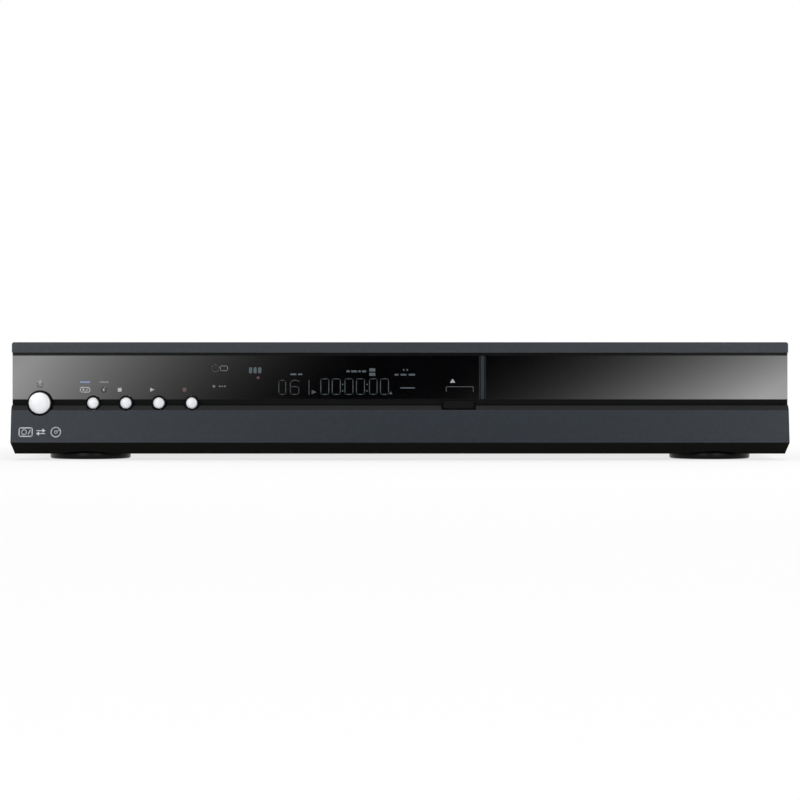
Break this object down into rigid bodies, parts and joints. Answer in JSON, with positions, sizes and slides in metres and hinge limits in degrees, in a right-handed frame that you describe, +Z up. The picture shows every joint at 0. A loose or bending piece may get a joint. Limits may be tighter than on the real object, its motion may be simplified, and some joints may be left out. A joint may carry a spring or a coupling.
{
  "type": "dvd hard disk recorder",
  "caption": "slim hi-fi width disc and hard disk recorder with gloss front, round silver buttons, sliding disc tray, geared loader, fan and rear sockets",
  "frame": {"origin": "centre of the bottom of the whole recorder's box, on the plane the feet stand on", "axes": "+X to the viewer's right along the front, +Y to the rear, +Z up; the front faces -Y"},
  "size_m": [0.43, 0.331, 0.065],
  "materials": {
    "fascia": "fine-textured blue-grey moulding",
    "black_plastic": "fine-textured black moulding",
    "gloss_panel": "polished black acrylic",
    "button_silver": "spun silver",
    "cover": "textured black paint",
    "zinc_steel": "zinc-plated sheet",
    "steel": "bright drawn steel",
    "foot_plastic": "glossy black moulding",
    "circuit_board": "green solder mask",
    "display_glass": "smoked display tube",
    "ivory_plastic": "natural acetal",
    "belt_rubber": "smooth black rubber",
    "aluminium": "cast and extruded aluminium",
    "winding": "taped winding on ferrite",
    "flat_cable": "grey ribbon"
  },
  "bodies": {
    "root": {"front_fascia": "fascia", "lower_lip": "black_plastic", "display_window": "gloss_panel", "button_rail": "gloss_panel", "switch_board": "circuit_board", "vfd_display": "display_glass", "display_board": "circuit_board", "top_cover": "cover", "chassis_pan": "zinc_steel", "rear_panel": "zinc_steel", "foot_front_left": "foot_plastic", "foot_front_right": "foot_plastic", "foot_rear_left": "foot_plastic", "foot_rear_right": "foot_plastic", "drive_frame": "black_plastic", "drive_lid": "zinc_steel", "loading_motor": "steel", "loading_belt": "belt_rubber", "hard_disk": "aluminium", "hard_disk_bracket": "zinc_steel", "power_board": "circuit_board", "transformer": "winding", "bulk_capacitor": "black_plastic", "power_heat_sink": "aluminium", "main_board": "circuit_board", "main_heat_sink": "aluminium", "tuner_module": "steel", "disk_cable": "flat_cable", "drive_cable": "flat_cable", "fan_frame": "black_plastic", "antenna_terminals": "steel", "av_jack_block": "black_plastic", "hdmi_socket": "steel", "lan_socket": "black_plastic", "optical_output": "black_plastic", "ac_inlet": "black_plastic"},
    "power_key": {"power_button": "button_silver"},
    "source_key": {"source_button": "button_silver"},
    "stop_key": {"stop_button": "button_silver"},
    "play_key": {"play_button": "button_silver"},
    "record_key": {"record_button": "button_silver"},
    "open_close_key": {"open_close_button": "gloss_panel"},
    "tray": {"disc_tray": "black_plastic", "tray_bezel": "gloss_panel"},
    "pinion": {"tray_pinion": "ivory_plastic"},
    "reduction": {"reduction_gear": "ivory_plastic"},
    "motor_wheel": {"motor_pulley": "ivory_plastic"},
    "cam": {"cam_slider": "ivory_plastic"},
    "traverse": {"traverse_frame": "zinc_steel", "spindle_motor": "steel", "guide_rod_left": "steel", "guide_rod_right": "steel", "sled_motor": "steel"},
    "spindle": {"turntable": "black_plastic"},
    "clamp": {"disc_clamp": "ivory_plastic"},
    "sled": {"pickup": "black_plastic"},
    "screw": {"lead_screw": "steel"},
    "fan": {"fan_rotor": "black_plastic"}
  },
  "joints": [
    {"name": "power_press", "type": "slide", "parent": "root", "child": "power_key", "axis": [0, 1, 0], "range_m": [0, 0.0008], "stiffness_N_per_m": 500, "springref_m": -0.0008},
    {"name": "source_press", "type": "slide", "parent": "root", "child": "source_key", "axis": [0, 1, 0], "range_m": [0, 0.0008], "stiffness_N_per_m": 500, "springref_m": -0.0008},
    {"name": "stop_press", "type": "slide", "parent": "root", "child": "stop_key", "axis": [0, 1, 0], "range_m": [0, 0.0008], "stiffness_N_per_m": 500, "springref_m": -0.0008},
    {"name": "play_press", "type": "slide", "parent": "root", "child": "play_key", "axis": [0, 1, 0], "range_m": [0, 0.0008], "stiffness_N_per_m": 500, "springref_m": -0.0008},
    {"name": "record_press", "type": "slide", "parent": "root", "child": "record_key", "axis": [0, 1, 0], "range_m": [0, 0.0008], "stiffness_N_per_m": 500, "springref_m": -0.0008},
    {"name": "open_close_press", "type": "slide", "parent": "root", "child": "open_close_key", "axis": [0, 1, 0], "range_m": [0, 0.0008], "stiffness_N_per_m": 500, "springref_m": -0.0008},
    {"name": "tray_slide", "type": "slide", "parent": "root", "child": "tray", "axis": [0, -1, 0], "range_m": [0, 0.15]},
    {"name": "pinion_spin", "type": "hinge", "parent": "root", "child": "pinion", "pos_m": [0.0884, -0.1289, 0.0394], "axis": [0, 0, 1], "range_deg": [0, 1075]},
    {"name": "reduction_spin", "type": "hinge", "parent": "root", "child": "reduction", "pos_m": [0.1044, -0.1289, 0.0354], "axis": [0, 0, 1], "range_deg": [-2508, 0]},
    {"name": "motor_spin", "type": "hinge", "parent": "root", "child": "motor_wheel", "pos_m": [0.1344, -0.1289, 0.0334], "axis": [0, 0, 1], "range_deg": [-7880, 0]},
    {"name": "traverse_lift", "type": "hinge", "parent": "root", "child": "traverse", "pos_m": [0.13055, 0.013, 0.03475], "axis": [1, 0, 0], "range_deg": [0, 4.75]},
    {"name": "cam_slide", "type": "slide", "parent": "root", "child": "cam", "axis": [1, 0, 0], "range_m": [0, 0.0201]},
    {"name": "turntable_spin", "type": "hinge", "parent": "traverse", "child": "spindle", "pos_m": [0.13055, -0.087, 0.047], "axis": [0, 0, 1], "continuous": true},
    {"name": "clamp_spin", "type": "hinge", "parent": "root", "child": "clamp", "pos_m": [0.13055, -0.087, 0.053], "axis": [0, 0, 1], "continuous": true},
    {"name": "pickup_slide", "type": "slide", "parent": "traverse", "child": "sled", "axis": [0, 1, 0], "range_m": [0, 0.036]},
    {"name": "lead_screw_spin", "type": "hinge", "parent": "traverse", "child": "screw", "pos_m": [0.16115, -0.045, 0.03785], "axis": [0, 1, 0], "range_deg": [0, 4321]},
    {"name": "fan_spin", "type": "hinge", "parent": "root", "child": "fan", "pos_m": [-0.0555, 0.145, 0.036], "axis": [0, 1, 0], "continuous": true}
  ],
  "couplings": [
    {"joint": "pinion_spin", "follows": "tray_slide", "rad_per_m": 125},
    {"joint": "reduction_spin", "follows": "tray_slide", "rad_per_m": -291.67},
    {"joint": "motor_spin", "follows": "tray_slide", "rad_per_m": -916.67},
    {"joint": "cam_slide", "follows": "traverse_lift", "m_per_rad": 0.24124},
    {"joint": "lead_screw_spin", "follows": "pickup_slide", "rad_per_m": 2094.4}
  ]
}
